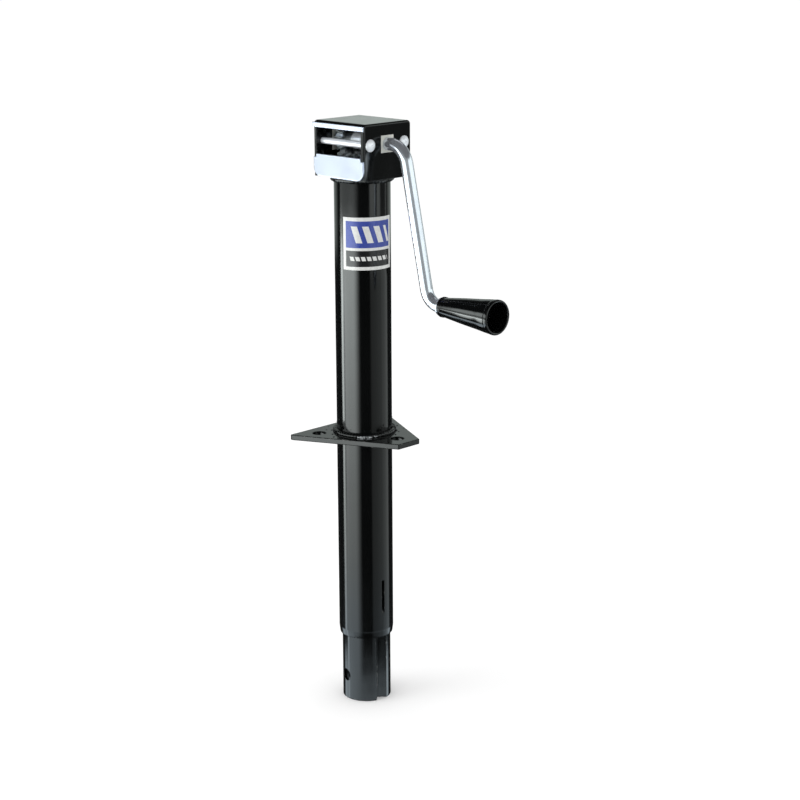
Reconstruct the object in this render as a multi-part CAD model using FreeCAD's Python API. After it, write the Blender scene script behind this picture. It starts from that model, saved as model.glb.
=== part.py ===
import FreeCAD, Part
import math
import os

os.makedirs("parts", exist_ok=True)

V = FreeCAD.Vector

# Driving dimensions, in millimetres. Z = 0 is the underside of the mounting flange, +Z runs up the
# tube, +X points to the crank and -Y is the open front of the gear head.
TUBE_OD = 57.15
TUBE_WALL = 2.8
TUBE_BOTTOM = -215.5
SLIDE_GAP = 0.375
LIP_GAP = 0.3
LEG_WALL = 3.0
LEG_BOTTOM = -287.5
LEG_TOP = 212.5
GROOVE_DEPTH = 7.9
KEY_TURN = -5.0
KEY_W = 3.3
KEY_LEN = 36.5
KEY_UP = 26.5
KEY_DROP = 3.4
FOOT_HOLE_R = 6.4
FOOT_HOLE_UP = 26.0
FOOT_HOLE_TURN = -12.0

FLANGE_T = 5.5
FLANGE_BACK = -41.5
FLANGE_APEX = 95.2
FLANGE_CUT = 65.0
FLANGE_HALF_W = 67.5
BOLT_CIRCLE_R = 48.0
BOLT_HOLE_R = 7.15

HEAD_BOTTOM = 269.3
HEAD_H = 55.7
HEAD_W = 72.0
HEAD_FRONT = -32.0
HEAD_BACK = 33.2
HEAD_PLATE = 4.2
BASE_T = 3.0
LIP_RETURN = 10.0
LIP_T = 1.3
CHIN_RECESS = 1.2
AXIS_UP = 34.9
ZINC_T = 2.2
RIVET_Y = 23.2
RIVET_R = 2.5
RIVET_HEAD_R = 6.25
RIVET_SLEEVE_WALL = 0.8
BUSHING_WALL = 2.15
BUSHING_LIP = 1.2

GEAR_MODULE = 2.0
PINION_TEETH = 14
GEAR_TEETH = 24
GEAR_FACE_W = 7.0
FLANK_BACKLASH = 0.12
GEAR_WEB = 4.42
HUB_R = 8.7
HUB_END = 7.0
PIN_R = 1.6
PIN_X = -11.5
GEAR_KEY_W = 3.0
GEAR_KEY_DEPTH = 1.7
CLIP_T = 1.0
SCREW_R = 9.5
SCREW_ROOT_R = 7.2
SCREW_GAP = 0.8
SCREW_LEAD = 5.08
SCREW_BOTTOM = -170.0
NUT_H = 24.0
JOURNAL_R = 8.0
BALL_R = 2.38
BALL_RING_R = 15.0
BALL_COUNT = 14
RACE_R = 19.5
RACE_HALF_GAP = 1.7
CAGE_T = 1.0

CRANK_R = 6.35
CRANK_THROW = 152.5
ARM_SLOPE = 0.2195
ARM_TOP_X = 59.4
UPPER_BEND_R = 22.0
LOWER_BEND_R = 18.0
GRIP_X = 111.5
GRIP_LEN = 72.5
GRIP_SMALL_R = 9.6
GRIP_LARGE_R = 17.2

LABEL_BOTTOM = 178.5
LABEL_H = 53.0
LABEL_START = -86.0
LABEL_SPAN = 112.0
LABEL_T = 0.25

# Sizes that follow from the ones above.
TUBE_R = TUBE_OD / 2
TUBE_IN_R = TUBE_R - TUBE_WALL
LEG_R = TUBE_IN_R - SLIDE_GAP
LEG_IN_R = LEG_R - LEG_WALL
GROOVE_TIP_R = max(LEG_R - GROOVE_DEPTH, SCREW_R + SCREW_GAP + LEG_WALL * math.sqrt(2))
PANEL_X = HEAD_W / 2
INNER_X = PANEL_X - HEAD_PLATE
HEAD_TOP = HEAD_BOTTOM + HEAD_H
AXIS_Z = HEAD_BOTTOM + AXIS_UP
HANDLE_Z = AXIS_Z - CRANK_THROW
BASE_TOP = HEAD_BOTTOM + BASE_T
BUSHING_HALF = CRANK_R + BUSHING_WALL
PINION_CONE = math.atan(PINION_TEETH / GEAR_TEETH)
CONE_LEN = GEAR_MODULE * math.hypot(PINION_TEETH, GEAR_TEETH) / 2
SMALL_END = (CONE_LEN - GEAR_FACE_W) / CONE_LEN
GEAR_CONE = math.pi / 2 - PINION_CONE
GRIP_FLOOR = GRIP_X + 44.0
CUP_R = GRIP_LARGE_R - 7.6
RUN = 0.1
SIDE_GAP = 0.3


def save(name, *solids):
    """Write one node: one solid, or several that are the same piece repeated."""
    shape = solids[0] if len(solids) == 1 else Part.makeCompound(list(solids))
    shape.exportStep("parts/%s.step" % name)


def fuse(*shapes):
    """One solid from touching or overlapping shapes."""
    return shapes[0].multiFuse(list(shapes[1:])).removeSplitter().Solids[0]


def box(x0, x1, y0, y1, z0, z1):
    return Part.makeBox(x1 - x0, y1 - y0, z1 - z0, V(x0, y0, z0))


def rod_x(r, x0, x1, y=0.0, z=0.0):
    """Cylinder along X."""
    return Part.makeCylinder(r, x1 - x0, V(x0, y, z), V(1, 0, 0))


def rod_z(r, z0, z1, x=0.0, y=0.0):
    """Cylinder along Z."""
    return Part.makeCylinder(r, z1 - z0, V(x, y, z0), V(0, 0, 1))


def ring_x(r_in, r_out, x0, x1, y=0.0, z=0.0):
    return rod_x(r_out, x0, x1, y, z).cut(rod_x(r_in, x0 - 1, x1 + 1, y, z))


def turned(profile):
    """Solid of revolution about Z from (radius, z) points."""
    wire = Part.makePolygon([V(r, 0, z) for r, z in profile + profile[:1]])
    return Part.Face(wire).revolve(V(0, 0, 0), V(0, 0, 1), 360)


def turned_x(profile, y=0.0, z=0.0):
    """Solid of revolution about an axis along X from (radius, x) points."""
    solid = turned(profile)
    solid.rotate(V(0, 0, 0), V(0, 1, 0), 90)
    solid.translate(V(0, y, z))
    return solid


def prism(points, direction):
    """Flat polygon of vectors pushed along a direction."""
    return Part.Face(Part.makePolygon(points + points[:1])).extrude(direction)


def turn_to_key(solid):
    """Turn a solid built facing +X about Z so that it faces the key."""
    solid.rotate(V(0, 0, 0), V(0, 0, 1), KEY_TURN)
    return solid


def leg_section(r, tip_x, z0, z1):
    """Round bar whose side carries a right-angled V notch that opens toward the key."""
    reach = r + 5 - tip_x
    notch = [V(tip_x, 0, z0), V(tip_x + reach, -reach, z0), V(tip_x + reach, reach, z0)]
    return turn_to_key(rod_z(r, z0, z1).cut(prism(notch, V(0, 0, z1 - z0))))


# Housing -------------------------------------------------------------------------------------


def outer_tube():
    swage_z = TUBE_BOTTOM + 7
    lip_in = LEG_R + LIP_GAP
    tube = turned([
        (TUBE_IN_R, HEAD_BOTTOM), (TUBE_IN_R, swage_z + 1),
        (lip_in, TUBE_BOTTOM + 4), (lip_in, TUBE_BOTTOM),
        (TUBE_R - 0.9, TUBE_BOTTOM), (TUBE_R - 0.5, TUBE_BOTTOM + 3),
        (TUBE_R, swage_z), (TUBE_R, HEAD_BOTTOM),
    ])
    half_w, low, high = KEY_W / 2, TUBE_BOTTOM + KEY_UP, TUBE_BOTTOM + KEY_UP + KEY_LEN
    tube = tube.cut(box(TUBE_IN_R - 2, TUBE_R + 2, -half_w, half_w, low, high))
    deep_in, deep_out = TUBE_IN_R - KEY_DROP, TUBE_R - KEY_DROP - 0.2
    side = [(TUBE_R - 0.25, low - 0.5), (TUBE_IN_R + 0.2, low - 0.5), (deep_in, low + 5),
            (deep_in, high - 5), (TUBE_IN_R + 0.2, high + 0.5), (TUBE_R - 0.25, high + 0.5),
            (deep_out, high - 5.5), (deep_out, low + 5.5)]
    key = prism([V(x, -half_w, z) for x, z in side], V(0, 2 * half_w, 0))
    return turn_to_key(fuse(tube, key))


def mounting_flange():
    slope = FLANGE_HALF_W / (FLANGE_APEX - FLANGE_BACK)
    cut_y = slope * (FLANGE_APEX - FLANGE_CUT)
    outline = [(FLANGE_BACK, FLANGE_HALF_W - 2), (FLANGE_BACK + 2.5, FLANGE_HALF_W - 1.2)]
    outline += [(FLANGE_CUT, cut_y)]
    outline += [(x, -y) for x, y in reversed(outline)]
    plate = prism([V(x, y, 0) for x, y in outline], V(0, 0, FLANGE_T))
    plate = plate.cut(rod_z(TUBE_R, -1, FLANGE_T + 1))
    for turn in (0, 120, 240):
        a = math.radians(turn)
        x, y = BOLT_CIRCLE_R * math.cos(a), BOLT_CIRCLE_R * math.sin(a)
        plate = plate.cut(rod_z(BOLT_HOLE_R, -1, FLANGE_T + 1, x, y))
    rim = [e for e in plate.Edges if e.Curve.TypeId == "Part::GeomLine"]
    return plate.makeChamfer(0.5, rim)


def weld_bead(z, leg_out, leg_up, up):
    """Ring of weld in the corner between the tube and a plate at height z; up is 1 above it, -1 below."""
    mid = (TUBE_R + leg_out * 0.38, z + up * leg_up * 0.38)
    return turned([(TUBE_R, z), (TUBE_R + leg_out, z), mid, (TUBE_R, z + up * leg_up)])


def head_base():
    plate = box(-INNER_X, INNER_X, chin_back(), HEAD_BACK - HEAD_PLATE, HEAD_BOTTOM, BASE_TOP)
    return plate.cut(rod_z(JOURNAL_R + 0.6, HEAD_BOTTOM - 1, BASE_TOP + 1))


def head_cover():
    shell = box(-PANEL_X, PANEL_X, HEAD_FRONT, HEAD_BACK, HEAD_BOTTOM, HEAD_TOP)
    top = [e for e in shell.Edges if e.BoundBox.ZMin > HEAD_TOP - 0.01]
    shell = shell.makeFillet(4.0, [e for e in top if e.BoundBox.XLength > 1])
    sides = [e for e in shell.Edges
             if abs(abs(e.CenterOfMass.x) - PANEL_X) < 0.01 and e.BoundBox.ZMax > HEAD_TOP - 4.01
             and e.BoundBox.ZMin > HEAD_TOP - 4.01]
    shell = shell.makeFillet(2.0, sides)
    back, under = HEAD_BACK - HEAD_PLATE, HEAD_TOP - HEAD_PLATE
    hollow = box(-INNER_X, INNER_X, HEAD_FRONT - 1, back, HEAD_BOTTOM - 1, under)
    shell = shell.cut(hollow)
    shell = shell.cut(bushing_block(-PANEL_X - 1, PANEL_X + 1, 0))
    seat = box(-PANEL_X - 1, PANEL_X + 1, HEAD_FRONT - 1, chin_back(), HEAD_BOTTOM - 1, ear_top())
    shell = shell.cut(seat)
    for y in (-RIVET_Y, RIVET_Y):
        shell = shell.cut(rod_x(RIVET_R, -PANEL_X - 1, PANEL_X + 1, y, AXIS_Z))
    return shell


def chin_back():
    """The chin plate is let into the front edges of the head's panels by this much."""
    return HEAD_FRONT + CHIN_RECESS


def ear_top():
    return HEAD_BOTTOM + 19.6


def chin_plate():
    half_w, t = PANEL_X - 0.6, ZINC_T
    low, ear, high, corner = HEAD_BOTTOM + 0.2, ear_top(), HEAD_BOTTOM + 22.7, 9.0
    back = chin_back()
    y = back - t
    plate = box(-half_w, half_w, y, back, low, ear)
    round_off = [e for e in plate.Edges if e.BoundBox.YLength > 1 and e.BoundBox.ZMax < low + 0.1]
    plate = plate.makeFillet(corner, round_off)
    plate = fuse(plate, box(-INNER_X, INNER_X, y, back, ear - 3, high))
    face_rim = [e for e in plate.Edges if e.BoundBox.YMax < y + 0.01]
    plate = plate.makeFillet(0.7, face_rim)
    tabs = [box(x, x + ZINC_T, back - 0.5, HEAD_FRONT + 16, BASE_TOP, high - 3)
            for x in (-INNER_X, INNER_X - ZINC_T)]
    return fuse(plate, *tabs)


def top_lip():
    t, under = LIP_T, HEAD_TOP - HEAD_PLATE
    lip = box(-PANEL_X - 0.3, PANEL_X + 0.3, HEAD_FRONT - t, HEAD_FRONT, under - 2.5, under + 2.3)
    lip = lip.makeFillet(0.5, [e for e in lip.Edges if e.BoundBox.YMax < HEAD_FRONT - t + 0.01])
    back = box(-INNER_X, INNER_X, HEAD_FRONT - 0.5, HEAD_FRONT + LIP_RETURN, under - ZINC_T, under)
    return fuse(lip, back)


def head_rivets():
    out = []
    for y in (-RIVET_Y, RIVET_Y):
        shank = rod_x(RIVET_R, -PANEL_X - 1, PANEL_X + 1, y, AXIS_Z)
        heads = []
        for side in (-1, 1):
            x = side * PANEL_X
            dome = Part.makeSphere(RIVET_HEAD_R * 1.25, V(x - side * RIVET_HEAD_R * 0.74, y, AXIS_Z))
            keep = rod_x(RIVET_HEAD_R, min(x, x + side * 5), max(x, x + side * 5), y, AXIS_Z)
            heads.append(dome.common(keep))
        out.append(fuse(shank, *heads))
    return out


def rivet_spacers():
    outer = RIVET_R + RIVET_SLEEVE_WALL
    return [ring_x(RIVET_R, outer, -INNER_X, INNER_X, y, AXIS_Z) for y in (-RIVET_Y, RIVET_Y)]


def bushing_block(x0, x1, rim):
    """Square block around the crank axis; rim widens it on every side."""
    half = BUSHING_HALF + rim
    return box(min(x0, x1), max(x0, x1), -half, half, AXIS_Z - half, AXIS_Z + half)


def crank_bushings():
    out = []
    for side in (-1, 1):
        body = bushing_block(side * (PANEL_X + 0.3), side * INNER_X, 0)
        flange = bushing_block(side * INNER_X, side * (INNER_X - BUSHING_LIP), 2.0)
        out.append(fuse(body, flange).cut(rod_x(CRANK_R + RUN, -PANEL_X - 1, PANEL_X + 1, 0, AXIS_Z)))
    return out


def label():
    sleeve = rod_z(TUBE_R + LABEL_T, 0, LABEL_H).cut(rod_z(TUBE_R, -1, LABEL_H + 1))
    sector = Part.makeCylinder(TUBE_R + 5, LABEL_H, V(0, 0, 0), V(0, 0, 1), LABEL_SPAN)
    patch = sleeve.common(sector)
    patch.rotate(V(0, 0, 0), V(0, 0, 1), LABEL_START)
    patch.translate(V(0, 0, LABEL_BOTTOM))
    return patch.Solids[0]


# Bevel gears ---------------------------------------------------------------------------------


def tooth_outline(teeth, cone):
    """Large-end outline of one straight bevel tooth: (radius, z, angle) from root to tip on one flank."""
    pitch_r = GEAR_MODULE * teeth / 2
    pitch_z = -pitch_r / math.tan(cone)
    flat_r = pitch_r / math.cos(cone)
    base_r = flat_r * math.cos(math.radians(20))
    inv = math.tan(math.radians(20)) - math.radians(20)
    flank = []
    for h in (-1.4, -0.75, -0.25, 0.2, 0.65, 1.0):
        r = flat_r + h * GEAR_MODULE
        press = math.acos(min(1.0, base_r / r))
        half = math.pi / (2 * teeth / math.cos(cone)) + inv - (math.tan(press) - press)
        arc = r * half - FLANK_BACKLASH
        rho = pitch_r + h * GEAR_MODULE * math.cos(cone)
        flank.append((rho, pitch_z + h * GEAR_MODULE * math.sin(cone), arc / rho))
    return flank


def tooth(flank, turn):
    """One tooth as a faceted bar that tapers toward the cone's apex."""
    ring = [(rho, z, turn - a) for rho, z, a in flank]
    ring += [(rho, z, turn + a) for rho, z, a in reversed(flank)]
    ends = []
    for k in (1.12, SMALL_END * 0.88):
        ends.append([V(k * rho * math.cos(a), k * rho * math.sin(a), k * z) for rho, z, a in ring])
    faces = []
    n = len(ring)
    for i in range(n):
        j = (i + 1) % n
        loop = [ends[0][i], ends[0][j], ends[1][j], ends[1][i], ends[0][i]]
        faces.append(Part.Face(Part.makePolygon(loop)))
    for end in ends:
        for i in range(n // 2 - 1):
            quad = [end[i], end[i + 1], end[n - 2 - i], end[n - 1 - i]]
            faces.append(Part.Face(Part.makePolygon(quad[:3] + quad[:1])))
            faces.append(Part.Face(Part.makePolygon([quad[0], quad[2], quad[3], quad[0]])))
    solid = Part.Solid(Part.makeShell(faces))
    if solid.Volume < 0:
        solid.reverse()
    return solid


def cone_point(teeth, cone, h, k=1.0):
    """(radius, z) at h modules outside the pitch cone; k is 1 at the large end, SMALL_END at the other."""
    pitch_r = GEAR_MODULE * teeth / 2
    pitch_z = -pitch_r / math.tan(cone)
    step = h * GEAR_MODULE
    return k * (pitch_r + step * math.cos(cone)), k * (pitch_z + step * math.sin(cone))


def bevel_gear(teeth, cone, first, hub_profile):
    """Gear about Z with its apex at the origin and its teeth below it."""
    root = [cone_point(teeth, cone, -1.25, k) for k in (1.0, SMALL_END)]
    core = turned(root + hub_profile)
    rim = turned([cone_point(teeth, cone, h, k)
                  for h, k in ((-1.38, 1.0), (1.0, 1.0), (1.0, SMALL_END), (-1.38, SMALL_END))])
    flank = tooth_outline(teeth, cone)
    bars = [tooth(flank, first + 2 * math.pi * i / teeth) for i in range(teeth)]
    cut = [rim.common(bar) for bar in bars]
    return fuse(core, *cut)


def driven_gear():
    low = gear_back() - AXIS_Z
    root_r, root_z = cone_point(GEAR_TEETH, GEAR_CONE, -1.25)
    web_r, web = cone_point(GEAR_TEETH, GEAR_CONE, -1.25, SMALL_END)
    web_r, web = web_r - 0.56, web - 0.87
    hub = [(web_r, web), (JOURNAL_R, web), (JOURNAL_R, low)]
    hub += [(root_r - 2.4, low), (root_r - 1.66, root_z - 2.5)]
    gear = bevel_gear(GEAR_TEETH, GEAR_CONE, math.pi / GEAR_TEETH, hub)
    gear.translate(V(0, 0, AXIS_Z))
    return gear.cut(key_bar())


def drive_pinion():
    root_r = cone_point(PINION_TEETH, PINION_CONE, -1.25)[0]
    small_z = cone_point(PINION_TEETH, PINION_CONE, -1.25, SMALL_END)[1]
    end = -sleeve_end()
    hub = [(HUB_R, small_z - 0.43), (HUB_R, -HUB_END), (CRANK_R, -HUB_END)]
    hub += [(CRANK_R, end), (root_r - 2.3, end)]
    pinion = bevel_gear(PINION_TEETH, PINION_CONE, 0.0, hub)
    pinion.rotate(V(0, 0, 0), V(0, 1, 0), 90)
    pinion.translate(V(0, 0, AXIS_Z))
    return pinion.cut(pin_bar())


def gear_back():
    """Height of the driven gear's flat back, which rests on the thrust bearing."""
    return AXIS_Z + cone_point(GEAR_TEETH, GEAR_CONE, -1.25)[1] - GEAR_WEB


def gear_web():
    return AXIS_Z + cone_point(GEAR_TEETH, GEAR_CONE, -1.25, SMALL_END)[1] - 0.87


def sleeve_end():
    """How far along X the pieces on the shaft may reach before they touch a bushing."""
    return INNER_X - BUSHING_LIP - SIDE_GAP


def pin_bar():
    reach = HUB_R - 0.3
    return Part.makeCylinder(PIN_R, 2 * reach, V(PIN_X, -reach, AXIS_Z), V(0, 1, 0))


def key_bar():
    return box(JOURNAL_R - GEAR_KEY_DEPTH, JOURNAL_R + GEAR_KEY_DEPTH, -GEAR_KEY_W / 2, GEAR_KEY_W / 2,
               gear_back() + 1.0, gear_web() - 1.0)


# Screw and bearing ---------------------------------------------------------------------------


def lift_screw():
    """Ridges stand in for the thread: straight rings at the thread's pitch."""
    top, shoulder = gear_web() + 2.8, HEAD_BOTTOM - 8
    clip_low, clip_high, groove_r = gear_web() + 0.05, gear_web() + 0.15 + CLIP_T, JOURNAL_R - 0.9
    side = [(0, SCREW_BOTTOM), (SCREW_ROOT_R - 1.2, SCREW_BOTTOM), (SCREW_ROOT_R, SCREW_BOTTOM + 1.2)]
    z = SCREW_BOTTOM + 3
    while z + SCREW_LEAD < shoulder - 6:
        side += [(SCREW_ROOT_R, z), (SCREW_R, z + 0.85)]
        side += [(SCREW_R, z + 2.45), (SCREW_ROOT_R, z + 3.3)]
        z += SCREW_LEAD
    side += [(SCREW_ROOT_R, shoulder), (JOURNAL_R, shoulder + 1), (JOURNAL_R, clip_low)]
    side += [(groove_r, clip_low), (groove_r, clip_high), (JOURNAL_R, clip_high)]
    side += [(JOURNAL_R, top - 0.7), (JOURNAL_R - 0.7, top), (0, top)]
    return turned(side).cut(key_bar())


def race(z0, z1, bore_r):
    """Bearing washer with a shallow ball track on the face toward the balls."""
    ball_z = ball_height()
    washer = rod_z(RACE_R, z0, z1).cut(rod_z(bore_r, z0 - 1, z1 + 1))
    track = Part.makeTorus(BALL_RING_R, BALL_R + 0.08, V(0, 0, ball_z), V(0, 0, 1))
    return washer.cut(track)


def ball_height():
    return (BASE_TOP + gear_back()) / 2


def bearing_balls():
    out = []
    for i in range(BALL_COUNT):
        a = 2 * math.pi * i / BALL_COUNT
        centre = V(BALL_RING_R * math.cos(a), BALL_RING_R * math.sin(a), ball_height())
        out.append(Part.makeSphere(BALL_R, centre))
    return out


def ball_cage():
    z = ball_height()
    cage = rod_z(RACE_R - 1.1, z - CAGE_T / 2, z + CAGE_T / 2)
    cage = cage.cut(rod_z(2 * BALL_RING_R - RACE_R + 1.1, z - CAGE_T, z + CAGE_T))
    return cage.cut(Part.makeCompound(bearing_balls()))


def gear_clip():
    z0, z1 = gear_web() + 0.1, gear_web() + 0.1 + CLIP_T
    clip = rod_z(JOURNAL_R + 2.6, z0, z1).cut(rod_z(JOURNAL_R - 0.9, z0 - 1, z1 + 1))
    gap = box(0, 20, -2.2, 2.2, z0 - 1, z1 + 1)
    return clip.cut(gap)


# Leg -----------------------------------------------------------------------------------------


def inner_tube():
    tip = GROOVE_TIP_R
    outer = leg_section(LEG_R, tip, LEG_BOTTOM, LEG_TOP)
    hollow = leg_section(LEG_IN_R, tip - LEG_WALL * math.sqrt(2), LEG_BOTTOM - 1, LEG_TOP + 1)
    tube = outer.cut(hollow)
    start = V(0, -LEG_R - 5, LEG_BOTTOM + FOOT_HOLE_UP)
    hole = Part.makeCylinder(FOOT_HOLE_R, 2 * LEG_R + 10, start, V(0, 1, 0))
    hole.rotate(V(0, 0, 0), V(0, 0, 1), FOOT_HOLE_TURN)
    return tube.cut(hole)


def drive_nut():
    tip = GROOVE_TIP_R - LEG_WALL * math.sqrt(2)
    nut = leg_section(LEG_IN_R, tip, LEG_TOP - NUT_H, LEG_TOP)
    return nut.cut(rod_z(SCREW_R + 0.4, LEG_TOP - NUT_H - 1, LEG_TOP + 1))


# Crank ---------------------------------------------------------------------------------------


def bend_points(corner, before, after, radius):
    """Start, middle and end of the arc that rounds a corner, in the XZ plane."""
    a = (V(*before) - V(*corner)).normalize()
    b = (V(*after) - V(*corner)).normalize()
    half = a.getAngle(b) / 2
    reach = radius / math.tan(half)
    start, end = V(*corner) + a * reach, V(*corner) + b * reach
    centre = V(*corner) + (a + b).normalize() * (radius / math.sin(half))
    middle = centre + (V(*corner) - centre).normalize() * radius
    return start, middle, end


def crank_rod():
    left, right = (-PANEL_X - 4.5, 0, AXIS_Z), (GRIP_FLOOR + 4.0, 0, HANDLE_Z)
    top = (ARM_TOP_X, 0, AXIS_Z)
    low = (ARM_TOP_X + ARM_SLOPE * CRANK_THROW, 0, HANDLE_Z)
    upper = bend_points(top, left, low, UPPER_BEND_R)
    lower = bend_points(low, top, right, LOWER_BEND_R)
    path = Part.Wire([
        Part.makeLine(V(*left), upper[0]), Part.Arc(*upper).toShape(), Part.makeLine(upper[2], lower[0]),
        Part.Arc(*lower).toShape(), Part.makeLine(lower[2], V(*right)),
    ])
    ring = Part.Wire(Part.makeCircle(CRANK_R, V(*left), V(1, 0, 0)))
    rod = path.makePipeShell([ring], True, False)
    tips = [e for e in rod.Edges if e.Curve.TypeId == "Part::GeomCircle"
            and (e.BoundBox.XMax < left[0] + 0.1 or e.BoundBox.XMin > right[0] - 0.1)]
    rod = rod.makeChamfer(0.8, tips)
    return rod.cut(pin_bar())


def grip():
    end = GRIP_X + GRIP_LEN
    neck, floor = CRANK_R + RUN, GRIP_FLOOR
    lip = GRIP_LARGE_R - 2.6
    profile = [
        (neck, GRIP_X), (GRIP_SMALL_R - 0.2, GRIP_X), (GRIP_SMALL_R + 0.6, GRIP_X + 1.0),
        (GRIP_SMALL_R + 0.6, GRIP_X + 3.2), (GRIP_SMALL_R, GRIP_X + 4.2),
        (GRIP_SMALL_R + 1.0, GRIP_X + 12), (GRIP_SMALL_R + 3.2, GRIP_X + 30),
        (GRIP_SMALL_R + 5.2, GRIP_X + 48), (GRIP_LARGE_R - 1.0, end - 12),
        (GRIP_LARGE_R - 0.2, end - 4), (GRIP_LARGE_R, end - 2), (GRIP_LARGE_R - 0.5, end - 0.5),
        (GRIP_LARGE_R - 1.3, end), (lip + 0.4, end), (lip, end - 0.8), (lip - 1.6, end - 10),
        (CUP_R + 1.0, floor + 2), (CUP_R, floor), (neck, floor),
    ]
    return turned_x(profile, 0, HANDLE_Z)


def grip_nut():
    x, rim, neck = GRIP_FLOOR + SIDE_GAP, CUP_R - SIDE_GAP, CRANK_R + 1.0
    profile = [(CRANK_R, x), (rim, x), (rim, x + 0.9), (neck, x + 1.6)]
    profile += [(neck - 0.2, x + 2.4), (CRANK_R, x + 2.4)]
    return turned_x(profile, 0, HANDLE_Z)


PARTS = {
    "outer_tube": outer_tube,
    "mounting_flange": mounting_flange,
    "flange_weld": lambda: weld_bead(FLANGE_T, 4.6, 4.2, 1),
    "head_base": head_base,
    "head_weld": lambda: weld_bead(HEAD_BOTTOM, 4.0, 5.0, -1),
    "head_cover": head_cover,
    "chin_plate": chin_plate,
    "top_lip": top_lip,
    "head_rivets": head_rivets,
    "rivet_spacers": rivet_spacers,
    "crank_bushings": crank_bushings,
    "label": label,
    "drive_pinion": drive_pinion,
    "driven_gear": driven_gear,
    "pinion_pin": pin_bar,
    "gear_key": key_bar,
    "gear_clip": gear_clip,
    "lift_screw": lift_screw,
    "lower_race": lambda: race(BASE_TOP, ball_height() - RACE_HALF_GAP, JOURNAL_R + 0.6),
    "upper_race": lambda: race(ball_height() + RACE_HALF_GAP, gear_back(), JOURNAL_R),
    "bearing_balls": bearing_balls,
    "ball_cage": ball_cage,
    "inner_tube": inner_tube,
    "drive_nut": drive_nut,
    "crank_rod": crank_rod,
    "shaft_spacer": lambda: ring_x(CRANK_R, HUB_R, -HUB_END, sleeve_end(), 0, AXIS_Z),
    "shaft_retainer": lambda: ring_x(CRANK_R, CRANK_R + 3.65, -PANEL_X - 2.2, -PANEL_X - 0.6, 0, AXIS_Z),
    "grip_collar": lambda: ring_x(CRANK_R, CRANK_R + 2.65, GRIP_X - 2.0, GRIP_X - SIDE_GAP, 0, HANDLE_Z),
    "grip_nut": grip_nut,
    "grip": grip,
}

for node, make in PARTS.items():
    made = make()
    save(node, *(made if isinstance(made, list) else [made]))
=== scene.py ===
import math
import random

import bmesh
import bpy
from mathutils import Matrix, Vector, noise


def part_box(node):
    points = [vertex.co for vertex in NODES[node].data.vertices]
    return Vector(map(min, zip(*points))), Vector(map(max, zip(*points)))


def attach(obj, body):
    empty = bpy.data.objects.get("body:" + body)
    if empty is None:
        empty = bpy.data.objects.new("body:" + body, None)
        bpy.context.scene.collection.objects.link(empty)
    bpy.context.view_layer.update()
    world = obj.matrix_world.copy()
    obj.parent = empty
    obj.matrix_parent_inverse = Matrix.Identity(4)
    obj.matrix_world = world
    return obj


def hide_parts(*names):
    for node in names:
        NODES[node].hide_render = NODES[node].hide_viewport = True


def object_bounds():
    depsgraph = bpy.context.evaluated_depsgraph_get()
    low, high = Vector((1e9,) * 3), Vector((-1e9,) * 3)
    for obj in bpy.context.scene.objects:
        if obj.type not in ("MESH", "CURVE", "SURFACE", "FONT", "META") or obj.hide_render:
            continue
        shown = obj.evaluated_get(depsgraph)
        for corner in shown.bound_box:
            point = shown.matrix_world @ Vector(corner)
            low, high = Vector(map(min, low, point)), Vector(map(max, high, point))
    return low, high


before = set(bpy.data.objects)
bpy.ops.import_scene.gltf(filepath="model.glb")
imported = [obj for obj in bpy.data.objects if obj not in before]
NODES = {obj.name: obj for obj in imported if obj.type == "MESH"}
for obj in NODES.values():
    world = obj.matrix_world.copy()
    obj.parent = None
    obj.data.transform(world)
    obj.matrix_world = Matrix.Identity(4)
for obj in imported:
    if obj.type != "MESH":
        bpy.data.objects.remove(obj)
cad_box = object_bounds()

# Lengths are in metres. The row's origin is the centre of the bolt circle, on the flange's underside.
TUBE_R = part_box("outer_tube")[1].x
FLANGE_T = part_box("mounting_flange")[1].z

# The camera looks along a direction turned by this much from the row's +Y, and a little down.
VIEW_TURN = math.radians(45.0)
CAMERA_TILT = math.radians(14.85)
CAMERA_ROLL = math.radians(-0.261)
CAMERA_RIGHT, CAMERA_AWAY, CAMERA_UP = 0.03688, -1.84488, 0.52622
CAMERA_LENS_MM, SENSOR_MM = 83.206, 36.0


def axes_point(right, away, up):
    """A point in row coordinates from one measured to the camera's right, away from it, and up."""
    c, s = math.cos(VIEW_TURN), math.sin(VIEW_TURN)
    return Vector((right * c - away * s, right * s + away * c, up))


# Camera --------------------------------------------------------------------------------------


def add_camera():
    """The photograph's viewpoint: turned, tilted and rolled, with no lens shift."""
    data = bpy.data.cameras.new("camera")
    data.lens = CAMERA_LENS_MM
    data.sensor_width = SENSOR_MM
    data.clip_end = 200.0
    obj = bpy.data.objects.new("camera", data)
    bpy.context.scene.collection.objects.link(obj)
    place = axes_point(CAMERA_RIGHT, CAMERA_AWAY, CAMERA_UP)
    ahead = axes_point(0, math.cos(CAMERA_TILT), -math.sin(CAMERA_TILT))
    right = axes_point(1, 0, 0)
    up = right.cross(ahead)
    across = right * math.cos(CAMERA_ROLL) + up * math.sin(CAMERA_ROLL)
    upward = up * math.cos(CAMERA_ROLL) - right * math.sin(CAMERA_ROLL)
    turn = Matrix((across, upward, -ahead)).transposed().to_4x4()
    obj.matrix_world = Matrix.Translation(place) @ turn
    bpy.context.scene.camera = obj


# Shader helpers ------------------------------------------------------------------------------


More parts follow.
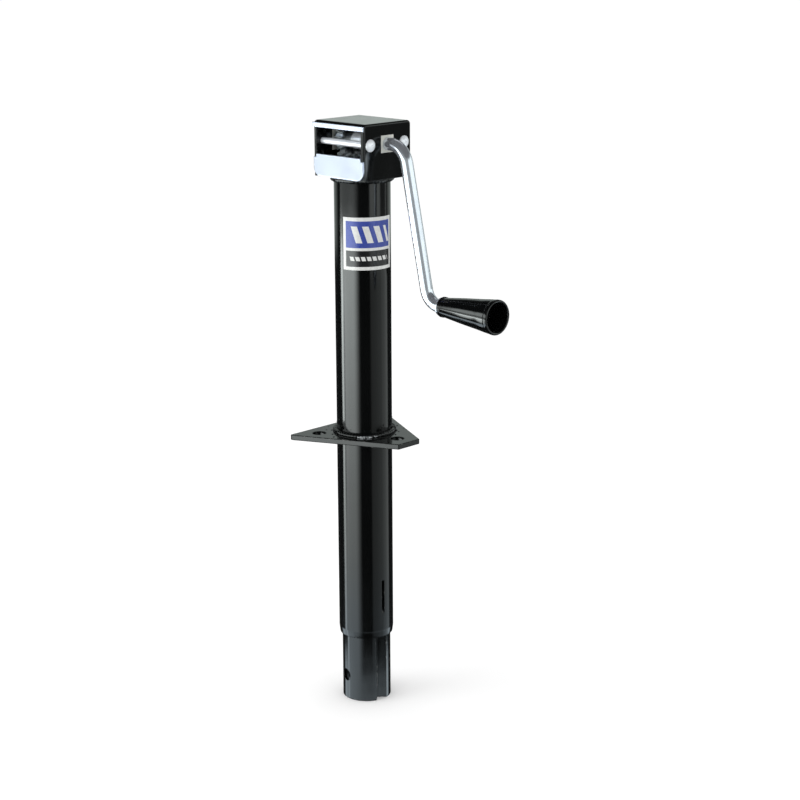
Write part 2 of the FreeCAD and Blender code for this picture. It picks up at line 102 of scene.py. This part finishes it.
class Shader:
    """A material around one Principled shader, with short calls for the nodes that feed it."""

    def __init__(self, name, **constants):
        self.mat = bpy.data.materials.new(name)
        self.mat.use_nodes = True
        self.tree = self.mat.node_tree
        self.tree.nodes.clear()
        out = self.tree.nodes.new("ShaderNodeOutputMaterial")
        self.bsdf = self.tree.nodes.new("ShaderNodeBsdfPrincipled")
        self.tree.links.new(self.bsdf.outputs[0], out.inputs[0])
        for key, value in constants.items():
            self.bsdf.inputs[key.replace("_", " ")].default_value = value
        self.coords = self.tree.nodes.new("ShaderNodeTexCoord").outputs["Object"]

    def node(self, kind, inputs=(), **props):
        made = self.tree.nodes.new("ShaderNode" + kind)
        for key, value in props.items():
            setattr(made, key, value)
        for key, value in dict(inputs).items():
            if isinstance(value, bpy.types.NodeSocket):
                self.tree.links.new(value, made.inputs[key])
            else:
                made.inputs[key].default_value = value
        return made

    def feed(self, name, socket):
        self.tree.links.new(socket, self.bsdf.inputs[name])

    def noise(self, scale, detail=3.0, rough=0.55, stretch=None):
        """Cloudy values around 0.5; a small stretch value draws them out along that axis."""
        where = self.coords
        if stretch:
            where = self.node("Mapping", {"Vector": where, "Scale": stretch}).outputs[0]
        values = {"Vector": where, "Scale": scale, "Detail": detail, "Roughness": rough}
        return self.node("TexNoise", values).outputs[0]

    def span(self, value, low, high, to_low=0.0, to_high=1.0):
        """The value moved from the range low..high to another, and held inside it."""
        return self.node("MapRange", {"Value": value, "From Min": low, "From Max": high, "To Min": to_low,
                                      "To Max": to_high}).outputs[0]

    def math(self, op, a, b=0.0):
        return self.node("Math", {0: a, 1: b}, operation=op).outputs[0]

    def mix(self, factor, a, b):
        return self.node("Mix", {0: factor, 6: a, 7: b}, data_type="RGBA").outputs[2]

    def edges(self, radius=0.0009, low=0.02, high=0.14):
        """Where the surface turns sharply: 1 along edges, 0 on flats. Also the rounded normal."""
        soft = self.node("Bevel", {"Radius": radius}, samples=4).outputs[0]
        flat = self.node("NewGeometry").outputs["Normal"]
        dot = self.node("VectorMath", {0: soft, 1: flat}, operation="DOT_PRODUCT").outputs["Value"]
        return self.span(self.math("SUBTRACT", 1.0, dot), low, high), soft

    def bump(self, *layers, normal=None):
        """Layers of (height, strength, distance in metres), one over the other."""
        for height, strength, distance in layers:
            made = self.node("Bump", {"Height": height, "Strength": strength, "Distance": distance})
            if normal is not None:
                self.tree.links.new(normal, made.inputs["Normal"])
            normal = made.outputs[0]
        self.feed("Normal", normal)


def black_enamel(name, wear=0.5, peel=0.35, dust=0.4):
    """Gloss black enamel on steel: orange peel, faint dust, and bare metal where edges are rubbed."""
    s = Shader(name, IOR=1.5)
    edge, soft = s.edges()
    patch = s.noise(140.0, 4.0, 0.65)
    rubbed = s.math("MULTIPLY", edge, s.span(patch, 0.64 - 0.12 * wear, 0.70 - 0.10 * wear))
    tone = s.mix(s.span(s.noise(9.0, 2.0), 0.3, 0.7), (0.0010, 0.0012, 0.0012, 1),
                 (0.0022, 0.0025, 0.0026, 1))
    specks = s.span(s.noise(1500.0, 2.0, 0.5), 0.70, 0.78, 0.0, dust * 0.25)
    tone = s.mix(specks, tone, (0.10, 0.10, 0.095, 1))
    s.feed("Base Color", s.mix(rubbed, tone, (0.34, 0.33, 0.32, 1)))
    s.feed("Metallic", rubbed)
    smear = s.span(s.noise(38.0, 5.0, 0.6, (1.0, 1.0, 0.25)), 0.35, 0.75, 0.07, 0.17)
    s.feed("Roughness", s.math("MAXIMUM", smear, s.math("MULTIPLY", rubbed, 0.42)))
    s.bump((s.noise(620.0, 2.0, 0.45), peel * 0.22, 0.0002), (s.noise(34.0, 1.0), 0.08, 0.0012),
           (rubbed, -0.25, 0.0002), normal=soft)
    return s.mat


def zinc(name, grain=(1.0, 1.0, 1.0), rough=0.30, spread=0.14, tint=(0.78, 0.82, 0.88, 1), metal=0.85):
    """Bright zinc plate: cool metal with faint clouding and fine drawn lines along the grain direction."""
    s = Shader(name, Metallic=metal)
    edge, soft = s.edges(0.0006)
    cloud = s.noise(55.0, 4.0, 0.6)
    fine = s.noise(900.0, 2.0, 0.5, grain)
    tone = s.mix(s.span(cloud, 0.3, 0.7), tint, (tint[0] * 0.84, tint[1] * 0.85, tint[2] * 0.87, 1))
    dull = s.span(s.noise(260.0, 3.0, 0.7), 0.62, 0.74, 0.0, 0.35)
    tone = s.mix(dull, tone, (0.50, 0.51, 0.50, 1))
    s.feed("Base Color", s.mix(s.math("MULTIPLY", edge, 0.4), tone, (0.92, 0.94, 0.95, 1)))
    s.feed("Roughness", s.math("ADD", s.span(cloud, 0.25, 0.75, rough - spread / 2, rough + spread / 2),
                               s.math("MULTIPLY", dull, 0.3)))
    s.bump((fine, 0.05, 0.0002), (s.noise(120.0, 2.0), 0.05, 0.0005), normal=soft)
    return s.mat


def machined(name, tone=(0.42, 0.42, 0.43, 1), rough=0.34, oil=0.5):
    """Machined steel with an oily film and darker stains in random patches."""
    s = Shader(name, Metallic=1.0)
    edge, soft = s.edges(0.0005)
    stain = s.span(s.noise(170.0, 5.0, 0.7), 0.42, 0.66)
    base = s.mix(stain, tone, (tone[0] * 0.45, tone[1] * 0.42, tone[2] * 0.38, 1))
    s.feed("Base Color", s.mix(s.math("MULTIPLY", edge, 0.6), base, (0.70, 0.70, 0.70, 1)))
    s.feed("Roughness", s.span(s.noise(90.0, 3.0), 0.3, 0.7, rough - 0.12 * oil, rough + 0.10))
    s.bump((s.noise(1400.0, 2.0), 0.12, 0.0001), normal=soft)
    return s.mat


def brass(name):
    """Brass with brown tarnish in patches."""
    s = Shader(name, Metallic=1.0)
    soft = s.edges(0.0004)[1]
    tarnish = s.span(s.noise(200.0, 4.0), 0.4, 0.65)
    s.feed("Base Color", s.mix(tarnish, (0.62, 0.45, 0.18, 1), (0.38, 0.26, 0.11, 1)))
    s.feed("Roughness", s.span(tarnish, 0.0, 1.0, 0.28, 0.45))
    s.bump((s.noise(1200.0, 2.0), 0.1, 0.0001), normal=soft)
    return s.mat


def nylon(name):
    """Natural nylon: warm, slightly see-through, with a faint moulded grain and darker patches."""
    s = Shader(name, Subsurface_Weight=0.15, IOR=1.53)
    s.bsdf.inputs["Subsurface Radius"].default_value = (0.002, 0.0016, 0.0010)
    edge, soft = s.edges(0.0006)
    tone = s.mix(s.span(s.noise(150.0, 4.0), 0.35, 0.7), (0.60, 0.61, 0.57, 1), (0.44, 0.44, 0.40, 1))
    s.feed("Base Color", s.mix(s.math("MULTIPLY", edge, 0.3), tone, (0.70, 0.70, 0.66, 1)))
    s.feed("Roughness", s.span(s.noise(300.0, 3.0), 0.3, 0.7, 0.34, 0.52))
    s.bump((s.noise(1100.0, 3.0), 0.18, 0.00015), normal=soft)
    return s.mat


def grip_plastic(name):
    """Polished black plastic with handling scuffs and fine lengthwise scratches."""
    s = Shader(name, IOR=1.50)
    scuff = s.span(s.noise(230.0, 5.0, 0.7, (0.3, 1.0, 1.0)), 0.60, 0.72)
    s.feed("Base Color", s.mix(scuff, (0.0012, 0.0013, 0.0014, 1), (0.006, 0.006, 0.006, 1)))
    s.feed("Roughness", s.span(scuff, 0.0, 1.0, 0.09, 0.30))
    s.bump((s.noise(700.0, 2.0), 0.05, 0.0002), (s.noise(30.0, 1.0), 0.06, 0.001))
    return s.mat


def label_print(name):
    """Printed film with no lettering: a white frame, a blue field of bars and a black dashed one."""
    s = Shader(name, IOR=1.46, Coat_Weight=0.35, Coat_Roughness=0.12)
    low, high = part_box("label")
    part = s.node("SeparateXYZ", {0: s.coords}).outputs
    turn = s.math("ARCTAN2", part[1], part[0])
    start, sweep, frame_w, slope = math.radians(-86.0), math.radians(112.0), 0.0032, 0.32
    u = s.math("MULTIPLY", s.math("SUBTRACT", turn, start), TUBE_R)
    v = s.math("SUBTRACT", part[2], low.z)
    width, height = sweep * TUBE_R, high.z - low.z

    def band(value, a, b):
        return s.math("MULTIPLY", s.math("GREATER_THAN", value, a), s.math("LESS_THAN", value, b))

    def stripes(value, pitch, share):
        return s.math("LESS_THAN", s.math("FRACT", s.math("DIVIDE", value, pitch)), share)

    inside = band(u, frame_w, width - frame_w)
    blue = s.math("MULTIPLY", inside, band(v, 0.0224, height - 0.0037))
    black = s.math("MULTIPLY", inside, band(v, 0.0034, 0.0196))
    slant = s.math("ADD", u, s.math("MULTIPLY", v, slope))
    bars = s.math("MULTIPLY", stripes(slant, 0.0115, 0.56),
                  s.math("MULTIPLY", band(v, 0.0274, 0.0441), band(slant, 0.0230, 0.0610)))
    thin = s.math("MULTIPLY", stripes(slant, 0.0058, 0.70),
                  s.math("MULTIPLY", band(v, 0.0094, 0.0136), band(slant, 0.0116, 0.0530)))
    print_tone = s.span(s.noise(420.0, 4.0), 0.35, 0.7)
    paper = s.mix(print_tone, (0.62, 0.63, 0.62, 1), (0.54, 0.55, 0.53, 1))
    ink_blue = s.mix(print_tone, (0.022, 0.045, 0.26, 1), (0.030, 0.056, 0.30, 1))
    ink_black = s.mix(print_tone, (0.004, 0.004, 0.005, 1), (0.010, 0.010, 0.011, 1))
    tone = s.mix(blue, paper, ink_blue)
    tone = s.mix(black, tone, ink_black)
    marks = s.math("MAXIMUM", s.math("MULTIPLY", blue, bars), s.math("MULTIPLY", black, thin))
    s.feed("Base Color", s.mix(marks, tone, paper))
    s.feed("Roughness", s.span(s.noise(70.0, 4.0), 0.3, 0.7, 0.24, 0.40))
    s.bump((s.noise(60.0, 2.0), 0.08, 0.0004), (s.noise(1000.0, 2.0), 0.06, 0.0001))
    return s.mat


# Materials on the CAD nodes ------------------------------------------------------------------

enamel = black_enamel("black_enamel", wear=0.15)
enamel_leg = black_enamel("black_enamel_leg", wear=0.75, dust=0.9)
enamel_plate = black_enamel("black_enamel_plate", wear=0.55)
enamel_weld = black_enamel("black_enamel_weld", wear=0.2, peel=0.9)
zinc_bar = zinc("zinc_bar", (1.0, 1.0, 0.08), rough=0.16, spread=0.08)
zinc_sheet = zinc("zinc_sheet", (0.10, 1.0, 1.0), rough=0.19, spread=0.10, tint=(0.545, 0.58, 0.68, 1))
zinc_small = zinc("zinc_small", rough=0.26, spread=0.12)
zinc_soft = zinc("zinc_soft", rough=0.34, spread=0.12, tint=(0.94, 0.97, 1.0, 1), metal=0.45)
steel = machined("machined_steel")
steel_dark = machined("screw_steel", (0.30, 0.30, 0.31, 1), 0.38)
steel_gear = machined("gear_steel", (0.66, 0.69, 0.72, 1), 0.30, 0.3)
steel_bright = machined("ball_steel", (0.62, 0.62, 0.64, 1), 0.12, 0.2)
grip_black = grip_plastic("grip_plastic")

FINISH = {
    enamel: ["outer_tube", "head_cover"],
    enamel_plate: ["mounting_flange", "head_base"],
    enamel_weld: ["flange_weld", "head_weld"],
    enamel_leg: ["inner_tube"],
    zinc_bar: ["crank_rod"],
    zinc_sheet: ["chin_plate", "top_lip"],
    zinc_small: ["shaft_retainer", "grip_collar", "grip_nut"],
    zinc_soft: ["head_rivets", "rivet_spacers", "shaft_spacer"],
    steel_gear: ["drive_pinion", "driven_gear"],
    steel: ["pinion_pin", "gear_key", "gear_clip", "drive_nut", "lower_race", "upper_race"],
    steel_dark: ["lift_screw"],
    steel_bright: ["bearing_balls"],
    brass("cage_brass"): ["ball_cage"],
    nylon("bushing_nylon"): ["crank_bushings"],
    grip_black: ["grip"],
    label_print("label_print"): ["label"],
}
for material, names in FINISH.items():
    for node in names:
        for place in NODES[node].material_slots:
            place.material = material


# Pieces made here ----------------------------------------------------------------------------


def piece(name, mesh_maker, material, body, replaced=(), smooth=True):
    """Build a mesh in bmesh, give it its finish and its body, and name the CAD node it stands for."""
    bm = bmesh.new()
    mesh_maker(bm)
    bmesh.ops.recalc_face_normals(bm, faces=bm.faces)
    mesh = bpy.data.meshes.new(name)
    bm.to_mesh(mesh)
    bm.free()
    for face in mesh.polygons:
        face.use_smooth = smooth
    mesh.materials.append(material)
    obj = bpy.data.objects.new(name, mesh)
    bpy.context.scene.collection.objects.link(obj)
    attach(obj, body)
    if replaced:
        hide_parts(*replaced)
    return obj


def weld_ring(z, up, reach, rise, ripples, seed):
    """A laid bead of overlapping ripples in the corner between the tube and a plate.

    The bead stands out from the tube by reach and off the plate by rise; up is 1 above the plate, -1 below.
    """
    per_ripple, across, sunk = 10, 9, 0.0002

    def build(bm):
        rng = random.Random(seed)
        starts = [rng.uniform(-0.5, 0.5) for _ in range(ripples + 1)]
        steps = ripples * per_ripple
        rows = []
        for i in range(steps):
            a = 2 * math.pi * i / steps
            cell, part = divmod(i / per_ripple, 1.0)
            scale = 0.86 + 0.10 * (1 - part) ** 0.6 + 0.05 * starts[int(cell)]
            wave = noise.noise(Vector((math.cos(a) * 3, math.sin(a) * 3, seed))) * 0.08
            row = []
            for j in range(across):
                t = j / (across - 1)
                bulge = 0.78 + 0.12 * math.sin(math.pi * t)
                r = reach * (scale + wave) * math.cos(t * math.pi / 2) ** 0.9 * bulge / 0.78
                h = rise * (scale + wave) * math.sin(t * math.pi / 2) ** 0.9 * bulge / 0.78
                ang = a + 0.012 * math.sin(math.pi * t)
                rad = TUBE_R - sunk + r
                row.append(bm.verts.new((rad * math.cos(ang), rad * math.sin(ang), z + up * (h - sunk))))
            core = TUBE_R - 2 * sunk
            row.append(bm.verts.new((core * math.cos(a), core * math.sin(a), z - up * sunk)))
            rows.append(row)
        for i in range(steps):
            one, two = rows[i], rows[(i + 1) % steps]
            for j in range(len(one)):
                k = (j + 1) % len(one)
                bm.faces.new((one[j], two[j], two[k], one[k]))

    return build


def spatter(count, seed):
    """Small set drops of weld metal on the flange and on the tube above it."""
    clear_of_bead, plate_edge = 0.0045, -0.040

    def build(bm):
        rng = random.Random(seed)
        for _ in range(count):
            a, size = rng.uniform(0, 2 * math.pi), rng.uniform(0.00035, 0.0009)
            if rng.random() < 0.55:
                r = TUBE_R + clear_of_bead + rng.random() ** 2 * 0.009
                x, y = r * math.cos(a), r * math.sin(a)
                if x < plate_edge:
                    continue
                spot, flat = Vector((x, y, FLANGE_T)), Matrix.Diagonal((1.2, 1.2, 0.75, 1))
            else:
                z = FLANGE_T + clear_of_bead + rng.random() ** 2 * 0.012
                spot = Vector((TUBE_R * math.cos(a), TUBE_R * math.sin(a), z))
                flat = Matrix.Rotation(a, 4, "Z") @ Matrix.Diagonal((0.7, 1.0, 1.2, 1))
            place = Matrix.Translation(spot) @ flat
            bmesh.ops.create_icosphere(bm, subdivisions=2, radius=size, matrix=place)

    return build


def glint_grains(count, seed):
    """Angular bright metal grains on the front of the flange weld, centred on the view direction: painted
    glints.
    """

    def build(bm):
        rng = random.Random(seed)
        for _ in range(count):
            a = math.radians(rng.gauss(0.5, 9.0)) - VIEW_TURN
            out = abs(rng.gauss(0.0, 0.35))
            r = TUBE_R + 0.0030 + 0.0055 * out
            rise = max(0.0, 0.0016 * (1 - out))
            size = rng.uniform(0.00025, 0.0007)
            spot = Vector((r * math.cos(a), r * math.sin(a), FLANGE_T + rise))
            turn = rng.uniform(0, 3)
            axis = Vector((rng.random(), rng.random(), 1)).normalized()
            place = Matrix.Translation(spot) @ Matrix.Rotation(turn, 4, axis)
            bmesh.ops.create_icosphere(bm, subdivisions=1, radius=size, matrix=place)

    return build


def rounded(points, steps=6):
    """Points with smooth curves drawn through them (Catmull-Rom)."""
    out = []
    last = len(points) - 1
    for i in range(last):
        a, b, c, d = (Vector(points[min(max(k, 0), last)]) for k in (i - 1, i, i + 1, i + 2))
        for j in range(steps):
            t = j / steps
            out.append(0.5 * (2 * b + (c - a) * t + (2 * a - 5 * b + 4 * c - d) * t * t
                              + (3 * b - 3 * c + d - a) * t ** 3))
    return out + [Vector(points[-1])]


def lathe(profile, centre, steps=96, seams=0.0):
    """A turned mesh about an axis along X from (radius, x) points; two mould seams can stand proud."""

    def build(bm):
        rings = []
        for r, x in profile:
            if r < 1e-7:
                rings.append([bm.verts.new((x, centre[0], centre[1]))])
                continue
            ring = []
            for i in range(steps):
                a = 2 * math.pi * i / steps
                rr = r + seams * math.exp(-(math.sin(a) / 0.03) ** 2)
                ring.append(bm.verts.new((x, centre[0] + rr * math.cos(a), centre[1] + rr * math.sin(a))))
            rings.append(ring)
        pairs = list(zip(rings, rings[1:]))
        if len(rings[0]) > 1:
            pairs.append((rings[-1], rings[0]))
        for one, two in pairs:
            for i in range(steps):
                j = (i + 1) % steps
                if len(one) == 1:
                    bm.faces.new((one[0], two[i], two[j]))
                elif len(two) == 1:
                    bm.faces.new((one[i], one[j], two[0]))
                else:
                    bm.faces.new((one[i], one[j], two[j], two[i]))

    return build


def add_rivets():
    """Two rivets with domed heads, each with a small punched dimple."""
    low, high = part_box("head_rivets")
    end, across, shank = high.x, 0.00625, 0.0025
    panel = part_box("head_cover")[1].x
    head = rounded([(0.0, -0.0005), (0.0007, -0.0004), (0.0013, 0.0), (0.0026, -0.00035), (0.0045, -0.0013),
                    (0.0058, -0.0022), (across, -0.0028)], 4)
    half = [(r, end + x) for r, x in head] + [(across, panel), (shank, panel)]
    profile = half + [(r, -x) for r, x in reversed(half)]
    z = (low.z + high.z) / 2
    for name, y in (("front_rivet", low.y + across), ("rear_rivet", high.y - across)):
        piece(name, lathe(profile, (y, z), 64), zinc_soft, "housing", ["head_rivets"])


def crease(obj, angle=35.0):
    """Keep edges sharper than this angle crisp."""
    limit = math.radians(angle)
    bm = bmesh.new()
    bm.from_mesh(obj.data)
    for edge in bm.edges:
        if len(edge.link_faces) == 2 and edge.calc_face_angle() > limit:
            edge.smooth = False
    bm.to_mesh(obj.data)
    bm.free()


def add_grip():
    """The turned grip: flared outside with a rolled rim, and a deep cup around the end of the rod."""
    low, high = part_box("grip")
    start, end, big = low.x, high.x, (high.z - low.z) / 2
    small, bore, floor, cup = 0.0096, 0.00645, start + 0.044, big - 0.0076
    seam = 0.00006
    rim = [(small - 0.0002, start), (small + 0.0006, start + 0.0010), (small + 0.0006, start + 0.0032),
           (small, start + 0.0042)]
    side = rounded([(small, start + 0.0042), (small + 0.0010, start + 0.012),
                    (small + 0.0032, start + 0.030), (small + 0.0053, start + 0.050),
                    (big - 0.0010, end - 0.012), (big - 0.0003, end - 0.0045)])
    lip = rounded([(big - 0.0003, end - 0.0045), (big - 0.0001, end - 0.0040), (big, end - 0.0030),
                   (big, end - 0.0014), (big - 0.0005, end - 0.0004), (big - 0.0013, end),
                   (big - 0.0021, end - 0.0003), (big - 0.0026, end - 0.0010),
                   (big - 0.0030, end - 0.003)], 4)
    inside = [(big - 0.0042, end - 0.010), (cup + 0.0010, floor + 0.002), (cup, floor), (bore, floor),
              (bore, start)]
    profile = [tuple(p) for p in rim[:-1] + side[:-1] + lip] + inside
    z = (low.z + high.z) / 2
    turned = lathe(profile, (0.0, z), 160, seam)
    crease(piece("grip_body", turned, grip_black, "grip", ["grip"]))


piece("flange_weld_bead", weld_ring(FLANGE_T, 1, 0.0044, 0.0040, 58, 3), enamel_weld, "housing",
      ["flange_weld"])
head_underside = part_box("head_cover")[0].z
piece("head_weld_bead", weld_ring(head_underside, -1, 0.0038, 0.0046, 52, 8), enamel_weld, "housing",
      ["head_weld"])
piece("weld_spatter", spatter(60, 11), enamel_weld, "housing")
# Bright metal grains on the weld's front, centred on the view direction: painted glints.
piece("glint_grains", glint_grains(60, 5), zinc_soft, "housing", smooth=False)
add_rivets()
add_grip()


# Stage and light -----------------------------------------------------------------------------


def add_stage():
    """A pale paper floor just under the object at rest."""
    size, gap = 120.0, 0.0002
    bpy.ops.mesh.primitive_plane_add(size=size, location=(0, 0, cad_box[0][2] - gap))
    floor = bpy.context.object
    floor.name = "floor"
    s = Shader("floor_paper", Roughness=0.9)
    s.bsdf.inputs["Specular IOR Level"].default_value = 0.0
    s.feed("Base Color", s.mix(s.noise(3.0), (0.93, 0.93, 0.93, 1), (0.945, 0.945, 0.945, 1)))
    floor.data.materials.append(s.mat)
    floor.visible_glossy = False
    floor.visible_shadow = False


def ease(value, low, high):
    """0 before low, 1 past high, eased between; low may be the larger."""
    t = min(max((value - low) / (high - low), 0.0), 1.0)
    return t * t * (3 - 2 * t)


def window(value, rise_from, rise_to, fall_from, fall_to):
    """1 between an eased rise and an eased fall, 0 outside them."""
    return ease(value, rise_from, rise_to) * (1 - ease(value, fall_from, fall_to))


def ramp(value, points):
    """The value looked up in (where, level) points, straight between them and level past the ends."""
    for (a, one), (b, two) in zip(points, points[1:]):
        if value <= b:
            return one + (two - one) * min(max((value - a) / (b - a), 0.0), 1.0)
    return points[-1][1]


# Bearings are degrees round the object from the camera's side, negative to the camera's left.
WALL_R, WALL_FOOT, WALL_STEP = 1.5, -1.3, 0.02
BACKDROP_R, BACKDROP_FOOT, BACKDROP_STEP = 0.6, 0.06, 0.015
LEFT_BANK, RIGHT_BANK_HIGH = 7.2, 1.35
LEFT_BY_HEIGHT = [(-1.3, 0.26), (-0.93, 0.27), (-0.70, 0.32), (-0.50, 0.42), (-0.34, 0.62), (-0.16, 0.86),
                  (0.0, 1.0)]
RIGHT_BY_BEARING = [(26, 0.30), (50, 0.42), (80, 0.62), (110, 1.0)]


def below_ceiling(z):
    return 1 - ease(z, 0.95, 1.15)


def left_bank(bearing, z):
    """A tall bright bank with a dark seam and a brighter far rim, and softer level with the head."""
    seam = math.exp(-((bearing + 85) / 2.0) ** 2) * (0.35 + 0.55 * window(z, -0.62, -0.50, -0.25, -0.15))
    rim = 1.0 + 0.75 * (1 - ease(bearing, -93, -88))
    low = LEFT_BANK * ramp(z, LEFT_BY_HEIGHT) * (1 - seam) * rim
    high = 1.0 + 2.2 * ease(z, 0.11, 0.20)
    up = ease(z, -0.08, 0.0)
    return window(bearing, -102, -98, -42, -10) * (low * (1 - up) + high * up) * (1 - ease(z, 0.5, 0.7))


def right_bank(bearing, z):
    """A softer bank that reaches further round at the top, with a gap level with the head."""
    gap = window(bearing, 68, 76, 104, 112) * window(z, -0.08, -0.02, 0.30, 0.36)
    up = ease(z, -0.12, -0.04)
    reach = 112 + 35 * up
    level = ramp(bearing, RIGHT_BY_BEARING) * (1 - up) + RIGHT_BANK_HIGH * up
    return window(bearing, 26, 33, reach, reach + 6) * below_ceiling(z) * level * (1 - 0.92 * gap)


def pale_table(bearing, z):
    """The table the object stands on; its far edge curves up towards the sides."""
    edge = -0.90 + 0.045 * ease(abs(bearing - 10), 20, 90)
    level = 1.7 + 0.8 * ease(bearing, 50, 100) + 0.5 * ease(-bearing, 20, 60)
    level *= (1 - ease(z, edge - 0.012, edge + 0.012)) * (1 - ease(abs(bearing), 118, 135))
    return level * ease(z, -1.12, -1.03) if bearing > -60 else level


def front_patch(bearing, z):
    """A faint light high in front."""
    return 0.28 * ease(z, 0.20, 0.30) * below_ceiling(z) * (1 - ease(abs(bearing + 10), 38, 52))


def studio_glow(bearing, z):
    """Light leaving the round studio wall, cooler towards its foot."""
    level = max(part(bearing, z) for part in (left_bank, right_bank, pale_table, front_patch))
    cool = ease(z, -0.60, -0.85)
    return [level * c for c in (0.93 - 0.10 * cool, 1.0 - 0.03 * cool, 0.985 + 0.07 * cool)]


def backdrop_glow(bearing, z):
    """Light from the pale backdrop close behind, seen only in surfaces that face up."""
    wide = 1 - ease(abs(bearing - 180), 50, 70)
    band = 0.55 * window(z, 0.06, 0.12, 0.27, 0.33) + 0.75 * window(z, 0.345, 0.36, 0.40, 0.62)
    return [wide * band * c for c in (0.90, 1.0, 0.96)]


def light_wall(name, radius, bearings, heights, glow):
    """A round wall that gives off light but shows only in reflections; its dark faces are left out."""
    darkest = 0.002
    bm = bmesh.new()
    layer = bm.verts.layers.float_color.new("glow")
    rows = []
    for z in heights:
        row = []
        for b in bearings:
            a = math.radians(b)
            vert = bm.verts.new(axes_point(math.sin(a) * radius, -math.cos(a) * radius, z))
            vert[layer] = (*glow(b, z), 1.0)
            row.append(vert)
        rows.append(row)
    for one, two in zip(rows, rows[1:]):
        for i in range(len(one) - 1):
            corners = (one[i], one[i + 1], two[i + 1], two[i])
            if max(max(v[layer][:3]) for v in corners) > darkest:
                bm.faces.new(corners)
    mesh = bpy.data.meshes.new(name)
    bm.to_mesh(mesh)
    bm.free()
    mat = bpy.data.materials.new(name)
    mat.use_nodes = True
    tree = mat.node_tree
    tree.nodes.clear()
    out, lamp = tree.nodes.new("ShaderNodeOutputMaterial"), tree.nodes.new("ShaderNodeEmission")
    tone = tree.nodes.new("ShaderNodeAttribute")
    tone.attribute_name = "glow"
    tree.links.new(tone.outputs["Color"], lamp.inputs["Color"])
    tree.links.new(lamp.outputs[0], out.inputs[0])
    mesh.materials.append(mat)
    obj = bpy.data.objects.new(name, mesh)
    bpy.context.scene.collection.objects.link(obj)
    obj.visible_camera = False
    obj.visible_diffuse = False
    obj.visible_shadow = False


def soft_box(name, bearing, distance, up, width, height, radiance):
    """A panel of light that faces the origin."""
    data = bpy.data.lights.new(name, "AREA")
    data.shape = "RECTANGLE"
    data.size, data.size_y = width, height
    data.energy = radiance * math.pi * width * height
    obj = bpy.data.objects.new(name, data)
    bpy.context.scene.collection.objects.link(obj)
    a = math.radians(bearing)
    place = axes_point(math.sin(a) * distance, -math.cos(a) * distance, up)
    aim = (-place).to_track_quat("-Z", "Y").to_matrix().to_4x4()
    obj.matrix_world = Matrix.Translation(place) @ aim
    obj.visible_camera = False
    return obj


def add_world():
    """White to the camera and for soft light, nearly dark in reflections, which the light walls fill."""
    white, dark = 1.08, 0.03
    world = bpy.data.worlds.new("studio")
    bpy.context.scene.world = world
    world.use_nodes = True
    tree = world.node_tree
    tree.nodes.clear()
    out = tree.nodes.new("ShaderNodeOutputWorld")
    back = tree.nodes.new("ShaderNodeBackground")
    path = tree.nodes.new("ShaderNodeLightPath")
    mix = tree.nodes.new("ShaderNodeMixShader")
    dim = tree.nodes.new("ShaderNodeBackground")
    back.inputs[0].default_value = (1, 1, 1, 1)
    back.inputs[1].default_value = white
    dim.inputs[0].default_value = (0.9, 0.96, 1, 1)
    dim.inputs[1].default_value = dark
    tree.links.new(path.outputs["Is Glossy Ray"], mix.inputs[0])
    tree.links.new(back.outputs[0], mix.inputs[1])
    tree.links.new(dim.outputs[0], mix.inputs[2])
    tree.links.new(mix.outputs[0], out.inputs[0])


add_camera()
add_stage()
add_world()
wall_heights = [WALL_FOOT + WALL_STEP * i for i in range(124)]
light_wall("studio_wall", WALL_R, range(-180, 181, 2), wall_heights, studio_glow)
backdrop_heights = [BACKDROP_FOOT + BACKDROP_STEP * i for i in range(39)]
light_wall("backdrop", BACKDROP_R, range(110, 251, 4), backdrop_heights, backdrop_glow)
soft_box("key_soft", -75, 1.6, 0.42, 1.2, 1.2, 2.4).visible_glossy = False
soft_box("top", 160, 0.9, 1.5, 0.8, 0.3, 0.8)

view = bpy.context.scene.view_settings
view.view_transform = "Standard"
view.look = "None"
